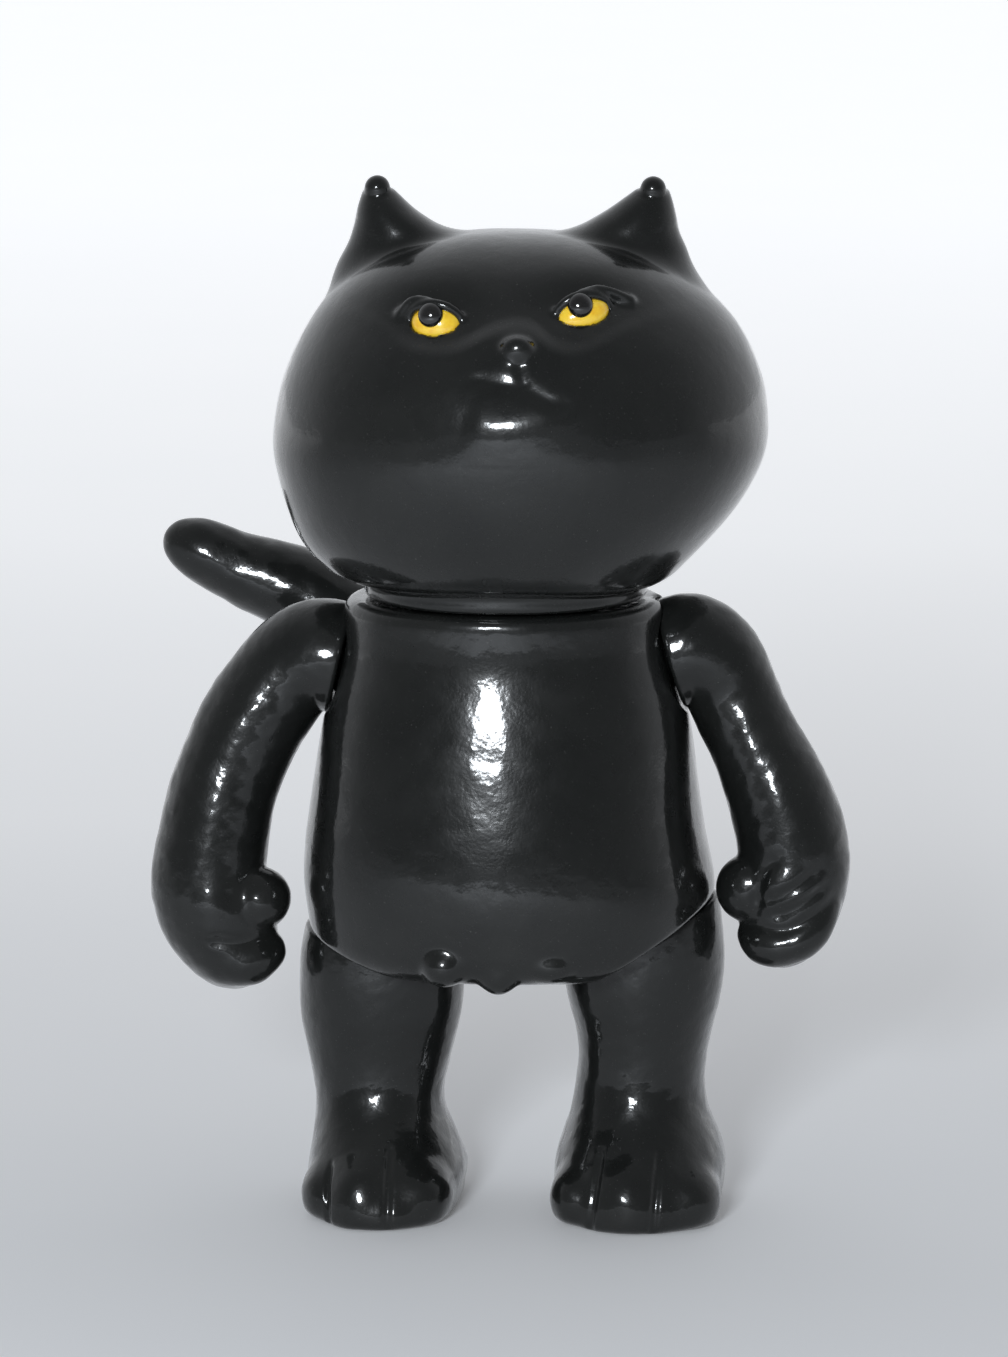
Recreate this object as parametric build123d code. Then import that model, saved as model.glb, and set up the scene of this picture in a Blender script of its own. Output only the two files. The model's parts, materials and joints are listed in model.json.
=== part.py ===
from build123d import *
import math
import os

# Hollow soft-vinyl standing cat figure, about 230 mm tall. It faces -Y, its left is +X, it stands on Z = 0.
# Seven thin-walled castings snap together: torso, head, two arms, two legs and a tail. Each limb ends in a
# round neck with a lip that is pressed through a hole in the torso wall and then turns in it by hand.
# The eyes are domed inserts with a raised pupil bead, seated in sockets in the head.

# ---------------------------------------------------------------- driving dimensions (mm)
WALL = 2.4                # casting wall
SEAM = 0.35               # gap between a limb's seat and the torso's seat
RUN = 0.07                # radial running clearance of a plug neck in its hole
LIP_GAP = 0.25            # axial gap between a plug's lip and the inside of the torso wall

SHIFT_X = 4.114            # the whole model is moved by these so that the box's bottom centre is the origin
SHIFT_Y = -12.309

# torso: z, centre x, half width, depth to the front, depth to the back
TORSO = [
    (52.6, 0.0, 13.0, 15.0, 11.0),
    (53.4, 0.0, 24.0, 23.0, 18.0),
    (55.6, 0.0, 33.6, 30.0, 25.0),
    (59.5, 0.0, 40.2, 35.4, 29.6),
    (65.0, 0.0, 44.2, 38.4, 32.4),
    (72.5, 0.0, 45.6, 39.8, 33.8),
    (81.0, -0.8, 44.8, 39.6, 33.8),
    (91.0, -1.1, 43.2, 38.4, 33.2),
    (101.0, -0.7, 41.9, 36.8, 32.2),
    (110.0, -0.4, 40.6, 35.2, 31.2),
    (118.0, -0.4, 38.5, 33.6, 30.4),
    (125.0, -0.5, 36.5, 32.4, 29.6),
    (131.0, -0.6, 35.4, 31.7, 29.0),
    (134.4, -0.6, 34.8, 31.1, 28.4),
    (136.5, -0.6, 33.6, 29.9, 27.4),
    (137.2, -0.6, 32.0, 28.6, 26.2),
]
TORSO_N = 2.25            # superellipse exponent of the torso's plan shape
HEM = [                   # three soft bumps moulded along the front of the hem: x, y, z, radius
    (-10.4, -22.0, 56.4, 3.0),
    (0.2, -22.5, 55.0, 3.2),
    (7.6, -22.0, 55.8, 2.6),
]
NECK_Z = 137.2            # top face of the torso, and the neck's seat
NECK_CX, NECK_CY = -0.5, -0.8
NECK_R, NECK_LIP_R, NECK_LIP_T = 20.0, 22.2, 2.4

# shoulders: centre of the round seat, and how far its outward normal leans up, in degrees
SHOULDER_R = {"p": (-36.4, 0.0, 122.4), "lean": 13.0}
SHOULDER_L = {"p": (35.4, 0.0, 124.4), "lean": 16.0}
RECESS_R, ARM_ROOT_R = 12.6, 12.2
ARM_PLUG_R, ARM_LIP_R, ARM_LIP_T = 7.0, 9.0, 2.0

# hips: a point on the seat plane and its outward tilt from straight down, in degrees
HIP_R = {"p": (-28.6, -1.0, 58.3), "tilt": 19.0}
HIP_L = {"p": (30.4, -1.0, 62.4), "tilt": 30.0}
LEG_PLUG_R, LEG_LIP_R, LEG_LIP_T = 10.0, 12.2, 2.2

# tail: its seat on the back, and its centreline with radii
TAIL_SEAT_Y, TAIL_Z = 31.4, 86.0
TAIL_RECESS_R, TAIL_ROOT_R = 11.4, 11.0
TAIL_PLUG_R, TAIL_LIP_R, TAIL_LIP_T = 6.4, 8.3, 2.0
TAIL = [
    (0.0, 31.75, 86.0, 11.0),
    (0.0, 37.0, 86.0, 11.0),
    (-2.6, 43.6, 87.6, 11.0),
    (-8.4, 50.2, 92.0, 10.9),
    (-17.0, 55.8, 99.8, 10.8),
    (-27.0, 59.2, 109.0, 10.7),
    (-37.5, 60.8, 118.0, 10.6),
    (-47.5, 60.8, 125.2, 10.3),
    (-56.0, 60.0, 129.5, 9.8),
    (-63.5, 59.2, 132.3, 8.9),
    (-70.0, 58.4, 135.2, 8.1),
    (-74.8, 57.8, 137.7, 7.4),
    (-78.4, 57.5, 139.4, 6.2),
    (-81.0, 57.3, 140.6, 4.4),
    (-82.8, 57.2, 141.3, 2.0),
]

# legs: z, centre x, half width, depth to the front, depth to the back, plan exponent
LEG_R = [
    (0.0, -27.3, 16.0, 27.6, 15.4, 2.7),
    (0.6, -27.3, 17.0, 29.0, 16.4, 2.7),
    (2.2, -27.2, 17.7, 30.2, 17.3, 2.7),
    (6.0, -27.1, 17.8, 30.2, 17.7, 2.6),
    (10.5, -27.0, 17.3, 28.0, 17.4, 2.45),
    (15.0, -27.4, 16.1, 23.4, 16.6, 2.3),
    (19.5, -28.2, 14.8, 18.2, 15.6, 2.2),
    (24.0, -28.6, 14.1, 15.6, 15.2, 2.2),
    (29.5, -28.7, 14.9, 15.5, 15.5, 2.2),
    (36.0, -28.7, 16.2, 16.6, 16.4, 2.2),
    (43.0, -28.5, 17.6, 17.8, 17.3, 2.2),
    (50.0, -28.4, 17.9, 18.2, 17.6, 2.2),
    (56.0, -28.3, 17.6, 18.0, 17.2, 2.2),
    (63.0, -28.2, 16.0, 16.6, 15.8, 2.2),
    (70.0, -28.0, 13.2, 13.8, 13.4, 2.2),
]
LEG_L = [
    (0.0, 29.4, 17.4, 27.6, 15.4, 2.7),
    (0.6, 29.4, 18.4, 29.0, 16.4, 2.7),
    (2.2, 29.4, 19.1, 30.3, 17.3, 2.7),
    (6.5, 29.6, 19.3, 30.2, 17.7, 2.6),
    (11.5, 29.7, 18.4, 28.0, 17.4, 2.45),
    (16.5, 29.6, 16.6, 23.0, 16.6, 2.3),
    (21.0, 29.4, 15.1, 18.0, 15.7, 2.2),
    (26.5, 29.4, 14.1, 15.5, 15.2, 2.2),
    (33.0, 30.2, 14.0, 15.5, 15.4, 2.2),
    (40.0, 30.4, 15.0, 16.5, 16.3, 2.2),
    (46.5, 30.4, 16.4, 17.6, 17.2, 2.2),
    (53.5, 30.5, 17.1, 18.2, 17.6, 2.2),
    (61.0, 30.6, 16.9, 18.0, 17.2, 2.2),
    (70.0, 30.7, 15.2, 16.4, 15.6, 2.2),
    (82.0, 30.8, 11.6, 12.6, 12.2, 2.2),
]

# arms: centreline x, y, z and radius, from the shoulder seat to the end of the fist (the first two rows are
# made from the seat itself)
ARM_R = [
    (-47.0, 0.0, 121.4, 11.6),
    (-52.4, -0.4, 115.4, 11.5),
    (-56.0, -0.9, 109.2, 11.8),
    (-60.0, -1.5, 101.6, 11.7),
    (-63.4, -2.3, 92.2, 11.9),
    (-65.2, -3.1, 82.6, 12.3),
    (-65.9, -4.0, 73.6, 12.9),
    (-65.0, -4.7, 67.0, 13.0),
    (-63.7, -5.2, 61.6, 12.0),
    (-62.2, -5.6, 57.2, 9.9),
    (-61.0, -5.8, 53.8, 7.2),
    (-60.2, -5.9, 51.4, 4.0),
    (-59.9, -5.9, 50.4, 1.4),
]
FIST_R = [  # thumb and curled fingers: x, y, z, radius
    (-55.2, -9.6, 68.4, 7.6),
    (-56.2, -8.4, 57.6, 5.7),
]
ARM_L = [
    (46.3, 0.0, 124.1, 11.0),
    (50.2, 0.0, 118.2, 10.4),
    (53.2, 0.0, 111.6, 10.5),
    (56.6, -0.2, 104.0, 10.7),
    (60.0, -0.6, 95.6, 11.4),
    (62.4, -1.2, 86.8, 11.8),
    (63.2, -1.9, 79.0, 12.1),
    (62.9, -2.5, 72.6, 12.0),
    (62.4, -2.9, 67.4, 11.2),
    (61.8, -3.2, 63.2, 9.6),
    (61.2, -3.3, 59.8, 7.0),
    (60.9, -3.4, 57.5, 3.8),
    (60.8, -3.4, 56.5, 1.4),
]
FIST_L = [
    (54.0, -5.6, 75.4, 8.0),
    (57.4, -5.6, 62.0, 5.5),
]

# head: z, centre x, half width, depth to the front, depth to the back
HEAD = [
    (137.55, -0.4, 30.6, 30.4, 29.0),
    (139.2, -0.4, 31.2, 31.0, 29.6),
    (140.9, -0.6, 33.6, 31.9, 31.8),
    (142.7, -0.9, 36.9, 34.0, 34.0),
    (145.4, -1.1, 40.6, 37.6, 36.6),
    (149.0, -1.0, 44.2, 40.4, 38.8),
    (153.0, -0.3, 47.4, 42.8, 40.8),
    (158.0, 0.9, 50.4, 44.8, 42.4),
    (164.0, 1.9, 52.7, 46.2, 43.6),
    (171.0, 2.5, 54.1, 46.9, 44.2),
    (178.0, 2.8, 53.8, 46.7, 44.0),
    (184.5, 2.8, 52.3, 45.4, 43.2),
    (191.0, 2.5, 49.6, 42.6, 41.4),
    (197.5, 1.8, 45.7, 38.6, 38.6),
    (203.5, 1.3, 40.8, 34.0, 34.8),
    (209.0, 1.3, 34.4, 28.2, 29.4),
    (213.5, 1.5, 26.4, 21.0, 22.6),
    (216.3, 1.7, 17.4, 13.6, 15.0),
    (217.6, 1.8, 8.6, 6.6, 7.6),
    (217.9, 1.8, 2.6, 2.0, 2.4),
]
HEAD_N = 2.12
# ears: z, centre x, half width, centre y, half depth
EAR_R = [
    (200.0, -22.0, 17.4, 2.5, 15.0),
    (206.0, -21.8, 17.2, 2.8, 14.2),
    (211.0, -21.8, 15.0, 3.0, 12.0),
    (214.6, -22.2, 12.6, 3.2, 10.0),
    (217.4, -23.4, 10.2, 3.4, 8.2),
    (219.6, -25.2, 7.9, 3.6, 6.6),
    (222.0, -26.7, 5.8, 3.8, 5.2),
    (225.0, -27.7, 3.9, 3.9, 3.8),
    (227.4, -28.3, 2.5, 4.0, 2.5),
    (229.0, -28.5, 1.4, 4.0, 1.4),
    (229.5, -28.5, 0.6, 4.0, 0.6),
]
EAR_L = [
    (200.0, 27.0, 16.8, 2.5, 15.0),
    (206.0, 25.9, 16.0, 2.8, 14.2),
    (211.0, 25.2, 14.2, 3.0, 12.2),
    (214.6, 24.6, 13.3, 3.2, 10.4),
    (217.4, 24.9, 11.9, 3.4, 8.8),
    (219.6, 26.4, 9.9, 3.6, 7.2),
    (222.0, 28.2, 7.5, 3.8, 5.6),
    (225.0, 30.0, 5.0, 3.9, 4.1),
    (227.6, 31.1, 2.9, 4.0, 2.7),
    (229.3, 31.6, 1.5, 4.0, 1.5),
    (229.8, 31.7, 0.6, 4.0, 0.6),
]
# eyes: centre, the way it faces, its horizontal direction, and half sizes across, up and out; then the pupil's
EYES = {
    "right": {"c": (-12.6, -31.6, 201.6), "face": (-0.20, -0.90, 0.38), "along": (1.0, -0.20, -0.12),
              "half": (5.6, 4.2, 3.2), "pupil": (-0.6, 1.0), "bead": (2.7, 2.7, 1.9)},
    "left": {"c": (17.7, -32.2, 203.2), "face": (0.24, -0.89, 0.38), "along": (1.0, 0.24, 0.22),
             "half": (5.8, 4.4, 3.2), "pupil": (-0.2, 1.3), "bead": (2.8, 2.8, 1.9)},
}
EYE_GAP = 0.04

POINTS = 28               # points on each section curve


# ---------------------------------------------------------------- helpers
def ring(z, cx, a, front, back, n, grow=0.0, cy=0.0):
    """A closed smooth plan curve: half width a, with its own depth to the front and to the back."""
    pts = []
    for k in range(POINTS):
        t = 2 * math.pi * k / POINTS
        c, s = math.cos(t), math.sin(t)
        x = cx + (a + grow) * math.copysign(abs(c) ** (2 / n), c)
        d = (back if s > 0 else front) + grow
        y = cy + d * math.copysign(abs(s) ** (2 / n), s)
        pts.append((x, y, z))
    return Wire([Edge.make_spline([Vector(*p) for p in pts], periodic=True)])


def stack(rows, n=None, grow=0.0):
    return Solid.make_loft([ring(*r[:5], n or r[5], grow) for r in rows])


def ear(rows):
    return Solid.make_loft([ring(z, cx, a, d, d, 2.0, 0.0, cy) for z, cx, a, cy, d in rows])


def limb(rows, side, start, grow=0.0):
    """A tapering round limb: circles square to the centreline. side is the circles' common reference direction
    and start is the direction the centreline leaves its seat in."""
    pts = [Vector(*r[:3]) for r in rows]
    wires = []
    for i, r in enumerate(rows):
        if i < 2:
            d = Vector(*start)
        else:
            d = (pts[min(i + 1, len(pts) - 1)] - pts[i - 1]).normalized()
        x = (side - d * side.dot(d)).normalized()
        wires.append(Wire.make_circle(max(r[3] + grow, 0.6), Plane(origin=pts[i], x_dir=x, z_dir=d)))
    return Solid.make_loft(wires)


def along(p, d, s):
    """The point s further than p in direction d."""
    return tuple(c + u * s for c, u in zip(p, d))


def rod(p, d, start, end, r):
    """A round bar of radius r along direction d, from distance start to end measured from point p."""
    return Solid.make_cylinder(r, end - start, Plane(origin=Vector(*along(p, d, start)), z_dir=Vector(*d)))


def half_space(p, d, size=400):
    """Everything on the far side of the plane through p, in direction d."""
    return Plane(origin=Vector(*p), z_dir=Vector(*d)) * (Pos(0, 0, size / 2) * Box(size, size, size))


def trimmed(rows, low, high):
    """The rows between two heights, with rows put in at the ends by interpolation."""
    def at(z):
        for r0, r1 in zip(rows, rows[1:]):
            if r0[0] <= z <= r1[0]:
                t = (z - r0[0]) / (r1[0] - r0[0])
                return tuple(p + (q - p) * t for p, q in zip(r0, r1))
        raise ValueError(z)
    inside = [r for r in rows if low + 0.8 < r[0] < high - 0.8]
    return [at(low)] + inside + [at(high)]


def one(shape):
    solids = sorted(shape.solids(), key=lambda s: -s.volume)
    if len(solids) != 1:
        print("  note: kept the largest of", len(solids), "solids,", [round(s.volume, 2) for s in solids])
    return solids[0]


def hip_up(hip):
    """Unit direction from a leg into the torso, along the hip axis."""
    t = math.radians(hip["tilt"])
    return (math.sin(t) if hip["p"][0] < 0 else -math.sin(t), 0.0, math.cos(t))


def shoulder_out(shoulder):
    """Unit direction from the torso out along the shoulder axis."""
    t = math.radians(shoulder["lean"])
    return (-math.cos(t) if shoulder["p"][0] < 0 else math.cos(t), 0.0, math.sin(t))


def plug(p, d, r, lip_r, lip_t, bore):
    """Neck, lip and bore of a snap plug. p is on the limb's seat and d points into the torso."""
    reach = SEAM + WALL + LIP_GAP
    neck = rod(p, d, -1.0, reach + 0.2, r)
    lip = rod(p, d, reach, reach + lip_t, lip_r)
    tip = lip.edges().filter_by(GeomType.CIRCLE).sort_by(lambda e: (e.center() - Vector(*p)).length)[-1]
    return neck, chamfer(tip, 0.8), rod(p, d, -WALL - 1.0, reach + lip_t + 1.0, bore)


def leg(rows, hip):
    up = hip_up(hip)
    seat = along(hip["p"], up, -SEAM)
    body = stack(rows) - half_space(seat, up)
    room = stack(trimmed(rows, WALL + 0.2, rows[-1][0] - 0.1), None, -WALL) - half_space(along(seat, up, -WALL), up)
    neck, lip, bore = plug(seat, up, LEG_PLUG_R, LEG_LIP_R, LEG_LIP_T, LEG_PLUG_R - WALL)
    return one(body + neck + lip - room - bore)


def arm(rows, fist, shoulder):
    out = shoulder_out(shoulder)
    seat = along(shoulder["p"], out, SEAM)
    inward = tuple(-u for u in out)
    root = [(*seat, ARM_ROOT_R), (*along(seat, out, 4.6), ARM_ROOT_R)]
    body = limb(root + rows, Vector(0, 1, 0), out)
    for x, y, z, r in fist:
        body = body + Pos(x, y, z) * Sphere(r)
    inner = [(*along(seat, out, WALL), ARM_ROOT_R), (*along(seat, out, 4.8), ARM_ROOT_R)]
    room = limb(inner + rows[:-3], Vector(0, 1, 0), out, -WALL)
    neck, lip, bore = plug(seat, inward, ARM_PLUG_R, ARM_LIP_R, ARM_LIP_T, ARM_PLUG_R - 2.0)
    return one(body + neck + lip - room - bore)


def make_tail():
    out = (0.0, 1.0, 0.0)
    seat = TAIL[0][:3]
    body = limb(TAIL, Vector(0, 0, 1), out)
    inner = [(*along(seat, out, WALL), TAIL[0][3]), (*along(seat, out, WALL + 1.6), TAIL[0][3])]
    room = limb(inner + TAIL[2:-3], Vector(0, 0, 1), out, -WALL)
    neck, lip, bore = plug(seat, (0, -1, 0), TAIL_PLUG_R, TAIL_LIP_R, TAIL_LIP_T, TAIL_PLUG_R - 2.0)
    return one(body + neck + lip - room - bore)


def make_torso():
    body = stack(TORSO, TORSO_N)
    for x, y, z, r in HEM:
        body = body + Pos(x, y, z) * Sphere(r)
    room = stack(trimmed(TORSO, 55.4, NECK_Z - WALL), TORSO_N, -WALL)
    for hip in (HIP_R, HIP_L):
        down = tuple(-u for u in hip_up(hip))
        body = body - half_space(hip["p"], down)
        room = room - half_space(along(hip["p"], down, -WALL), down)
    # round seats: recessed flats with the wall kept behind them, a hole in each for its plug, and room for its lip
    seats = [
        (SHOULDER_R["p"], shoulder_out(SHOULDER_R), RECESS_R, ARM_PLUG_R, ARM_LIP_R),
        (SHOULDER_L["p"], shoulder_out(SHOULDER_L), RECESS_R, ARM_PLUG_R, ARM_LIP_R),
        ((0.0, TAIL_SEAT_Y, TAIL_Z), (0.0, 1.0, 0.0), TAIL_RECESS_R, TAIL_PLUG_R, TAIL_LIP_R),
    ]
    for p, d, r, hole, lip in seats:
        room = room - rod(p, d, -WALL, 30, r + WALL) + rod(p, d, -10, -WALL, lip + 0.8)
    body = body - room
    for p, d, r, hole, lip in seats:
        body = body - rod(p, d, 0, 30, r) - rod(p, d, -8, 5, hole + RUN)
    body = body - rod((NECK_CX, NECK_CY, NECK_Z), (0, 0, -1), -5, 8, NECK_R + RUN)
    for hip in (HIP_R, HIP_L):
        body = body - rod(hip["p"], hip_up(hip), -5, 6, LEG_PLUG_R + RUN)
    return one(body)


def dome(half, grow=0.0):
    return scale(Sphere(1.0), by=tuple(h + grow for h in half))


def eye_parts():
    """For each side: the amber dome, the pupil bead, and the space they take out of the head."""
    out = {}
    for side, e in EYES.items():
        frame = Plane(origin=Vector(*e["c"]), x_dir=Vector(*e["along"]), z_dir=Vector(*e["face"]))
        u, v = e["pupil"]
        a, b, c = e["half"]
        top = c * math.sqrt(1 - (u / a) ** 2 - (v / b) ** 2)
        back = 1.4
        def shaped(half, grow):
            return dome(half, grow) - Pos(0, 0, -50 - back - grow) * Box(100, 100, 100)
        spot = Pos(u, v, top - 1.0)
        bead = spot * dome(e["bead"])
        eye = shaped(e["half"], 0.0) - spot * dome(e["bead"], EYE_GAP)
        hole = shaped(e["half"], EYE_GAP) + spot * dome(e["bead"], EYE_GAP)
        pad = dome(e["half"], WALL)
        out[side] = [one(frame * eye), one(frame * bead), frame * hole, frame * pad]
    return out


def make_head(eyes):
    seat = (NECK_CX, NECK_CY, HEAD[0][0])
    body = stack(HEAD, HEAD_N) + ear(EAR_R) + ear(EAR_L)
    room = stack(trimmed(HEAD, HEAD[0][0] + WALL, 215.2), HEAD_N, -WALL)
    for eye, bead, hole, pad in eyes.values():
        room = room - pad          # the wall is kept whole behind each eye socket
    neck, lip, bore = plug(seat, (0, 0, -1), NECK_R, NECK_LIP_R, NECK_LIP_T, NECK_R - WALL)
    body = body + neck + lip - room - bore
    for eye, bead, hole, pad in eyes.values():
        body = body - hole
    return one(body)


# ---------------------------------------------------------------- build and write
os.makedirs("parts", exist_ok=True)
eyes = eye_parts()
made = {
    "torso_shell": make_torso(),
    "head_shell": make_head(eyes),
    "arm_right_shell": arm(ARM_R, FIST_R, SHOULDER_R),
    "arm_left_shell": arm(ARM_L, FIST_L, SHOULDER_L),
    "leg_right_shell": leg(LEG_R, HIP_R),
    "leg_left_shell": leg(LEG_L, HIP_L),
    "tail_shell": make_tail(),
    "eye_right": eyes["right"][0],
    "eye_left": eyes["left"][0],
    "pupil_right": eyes["right"][1],
    "pupil_left": eyes["left"][1],
}
low, high = [1e9] * 3, [-1e9] * 3
for name, solid in made.items():
    solid = solid.moved(Location((SHIFT_X, SHIFT_Y, 0)))
    box = solid.bounding_box(optimal=True)
    for k, (p, q) in enumerate(zip(tuple(box.min), tuple(box.max))):
        low[k], high[k] = min(low[k], p), max(high[k], q)
    export_step(solid, f"parts/{name}.step")
print("box", [round(v, 3) for v in low], [round(v, 3) for v in high], "centre", [round((p + q) / 2, 3) for p, q in zip(low, high)])
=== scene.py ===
import math

import bpy
import json
import numpy as np
import openvdb
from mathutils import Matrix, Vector


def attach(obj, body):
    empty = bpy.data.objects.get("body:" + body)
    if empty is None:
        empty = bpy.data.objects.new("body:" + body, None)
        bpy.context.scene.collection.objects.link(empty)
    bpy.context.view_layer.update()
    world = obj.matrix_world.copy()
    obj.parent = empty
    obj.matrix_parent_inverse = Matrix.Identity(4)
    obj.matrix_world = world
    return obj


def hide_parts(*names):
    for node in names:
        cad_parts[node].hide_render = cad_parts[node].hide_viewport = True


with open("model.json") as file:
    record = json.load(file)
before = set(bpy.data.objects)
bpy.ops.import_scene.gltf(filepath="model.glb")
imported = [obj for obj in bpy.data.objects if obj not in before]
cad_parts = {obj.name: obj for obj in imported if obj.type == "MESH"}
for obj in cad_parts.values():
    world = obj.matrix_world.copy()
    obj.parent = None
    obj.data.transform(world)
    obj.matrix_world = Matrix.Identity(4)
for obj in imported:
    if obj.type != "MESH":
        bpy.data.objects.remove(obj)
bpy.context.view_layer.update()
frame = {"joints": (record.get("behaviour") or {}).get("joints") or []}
JOINTS = {j["name"]: j for j in frame["joints"]}

# The shapes below are worked out in millimetres, in the sculpting frame: x = 0 on the torso's middle, y = 0 through
# the shoulders, z = 0 at the soles. ORIGIN takes that frame to the row's frame, through the neck joint.
NECK = np.array([-0.5, -0.8, 137.2])
ORIGIN = np.array(JOINTS["neck_turn"]["pos_m"]) * 1000.0 - NECK
ORIGIN[2] = 0.0


# ---------------------------------------------------------------- small numeric tools
class Curve:
    """Natural cubic spline through rows (t, value, value, ...), clamped at its ends."""

    def __init__(self, rows):
        rows = np.array(rows, float)
        self.t, self.v = rows[:, 0], rows[:, 1:]
        n = len(self.t)
        h = np.diff(self.t)
        a = np.zeros((n, n))
        r = np.zeros_like(self.v)
        a[0, 0] = a[-1, -1] = 1.0
        for i in range(1, n - 1):
            a[i, i - 1], a[i, i], a[i, i + 1] = h[i - 1], 2 * (h[i - 1] + h[i]), h[i]
            r[i] = 6 * ((self.v[i + 1] - self.v[i]) / h[i] - (self.v[i] - self.v[i - 1]) / h[i - 1])
        self.m = np.linalg.solve(a, r)

    def __call__(self, q):
        q = np.clip(q, self.t[0], self.t[-1])
        i = np.clip(np.searchsorted(self.t, q) - 1, 0, len(self.t) - 2)
        h = self.t[i + 1] - self.t[i]
        a, b = (self.t[i + 1] - q) / h, (q - self.t[i]) / h
        a, b, h = a[:, None], b[:, None], h[:, None]
        return (a * self.v[i] + b * self.v[i + 1]
                + ((a ** 3 - a) * self.m[i] + (b ** 3 - b) * self.m[i + 1]) * h * h / 6)


def smin(a, b, k):
    h = np.clip(0.5 + 0.5 * (b - a) / k, 0, 1)
    return b + (a - b) * h - k * h * (1 - h)


def smax(a, b, k):
    return -smin(-a, -b, k)


def step(e0, e1, x):
    t = np.clip((x - e0) / (e1 - e0), 0, 1)
    return t * t * (3 - 2 * t)


def bell(x, s):
    return np.exp(-0.5 * (x / s) ** 2)


_rng = np.random.RandomState(7)
_waves = []
for _k in range(5):
    d = _rng.normal(size=(10, 3))
    d /= np.linalg.norm(d, axis=1)[:, None]
    _waves.append((d * _rng.uniform(0.75, 1.25, size=(10, 1)), _rng.uniform(0, 2 * math.pi, size=10)))


def lumps(p, size, which=0):
    """Smooth hand-worked unevenness of about unit height, with humps about size mm across."""
    d, ph = _waves[which]
    k = math.pi / size
    w = p @ (d.T * k) + ph
    w = w + 0.6 * np.sin(np.roll(w, 1, axis=1) * 0.7)
    return np.sin(w).sum(1) / math.sqrt(10) / 1.6


def unit(v):
    v = np.array(v, float)
    return v / np.linalg.norm(v)


def squircle(x, y, a, front, back, s):
    """Distance from the plan outline with half width a and its own depth each way, measured along the ray from the middle.
    s is its squareness: 0 is an ellipse."""
    d = np.where(y < 0, front, back)
    u, v = x / a, y / d
    r = np.sqrt(u * u + v * v) + 1e-9
    q = np.clip(s * (u * u) * (v * v) / r ** 4, 0, 0.2499)
    rb = np.sqrt(2 / (1 + np.sqrt(1 - 4 * q)))
    dist = np.sqrt(x * x + y * y)
    return dist * (1 - rb / r)


class Stack:
    """A solid given by plan outlines up its height: rows of z, centre x, half width, depth front, depth back, squareness."""

    def __init__(self, rows):
        self.c = Curve(rows)

    def __call__(self, p, h=1.0):
        out = []
        for dz in (0.0, h, -h):
            v = self.c(p[:, 2] + dz)
            out.append(squircle(p[:, 0] - v[:, 0], p[:, 1], v[:, 1], v[:, 2], v[:, 3], v[:, 4]))
        slope = (out[1] - out[2]) / (2 * h)
        return out[0] / np.sqrt(1 + slope * slope)


class Limb:
    """A round limb along a smooth line: rows of x, y, z, radius. A fifth column, if given, is not used."""

    def __init__(self, rows, n=140):
        rows = np.array(rows, float)
        t = np.concatenate([[0], np.cumsum(np.linalg.norm(np.diff(rows[:, :3], axis=0), axis=1))])
        c = Curve(np.column_stack([t, rows]))
        s = c(np.linspace(0, t[-1], n))
        self.p, self.r = s[:, :3], np.maximum(s[:, 3], 0.3)

    def __call__(self, p):
        out = np.empty(len(p))
        for lo in range(0, len(p), 40000):
            q = p[lo:lo + 40000]
            d = np.sqrt(np.maximum(((q ** 2).sum(1)[:, None] - 2 * q @ self.p.T + (self.p ** 2).sum(1)[None]), 0)) - self.r[None]
            i = np.clip(np.argmin(d, axis=1), 1, d.shape[1] - 2)
            k = np.arange(len(q))
            f0, f1, f2 = d[k, i - 1], d[k, i], d[k, i + 1]
            den = f0 + f2 - 2 * f1
            t = np.where(den > 1e-9, (f0 - f2) / (2 * np.maximum(den, 1e-9)), 0)
            t = np.clip(t, -1, 1)
            out[lo:lo + 40000] = f1 + 0.5 * t * (f2 - f0) + 0.5 * t * t * den
        return out


def ball(p, c, r):
    return np.linalg.norm(p - np.array(c), axis=1) - r


def egg(p, c, half, axes=None):
    """Ellipsoid with its own axes (rows of a matrix)."""
    q = p - np.array(c)
    if axes is not None:
        q = q @ np.array(axes).T
    h = np.array(half, float)
    k0 = np.linalg.norm(q / h, axis=1)
    k1 = np.linalg.norm(q / (h * h), axis=1) + 1e-9
    return k0 * (k0 - 1) / k1


def rod(p, c, d, lo, hi, r, k=0.6):
    d = unit(d)
    q = p - np.array(c)
    t = q @ d
    rad = np.linalg.norm(q - t[:, None] * d, axis=1)
    return smax(smax(rad - r, t - hi, k), lo - t, k)


def groove(p, pts, width, depth, n=24):
    """How much to take off the surface along a line of points: a soft-edged channel."""
    pts = np.array(pts, float)
    t = np.concatenate([[0], np.cumsum(np.linalg.norm(np.diff(pts, axis=0), axis=1))])
    s = Curve(np.column_stack([t, pts]))(np.linspace(0, t[-1], n))
    best = np.full(len(p), 1e9)
    at = np.zeros(len(p))
    for k in range(n - 1):
        a, b = s[k], s[k + 1]
        ab = b - a
        u = np.clip(((p - a) @ ab) / (ab @ ab), 0, 1)
        d = np.linalg.norm(p - a - u[:, None] * ab, axis=1)
        m = d < best
        best[m] = d[m]
        at[m] = ((k + u) / (n - 1))[m]
    ends = step(0, 0.16, at) * step(0, 0.16, 1 - at)
    return depth * bell(best, width) * (0.25 + 0.75 * ends)


# ---------------------------------------------------------------- from a field to a mesh
def gradient(f, p, h=0.05):
    g = np.empty_like(p)
    for k in range(3):
        e = np.zeros(3)
        e[k] = h
        g[:, k] = (f(p + e) - f(p - e)) / (2 * h)
    return g


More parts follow.
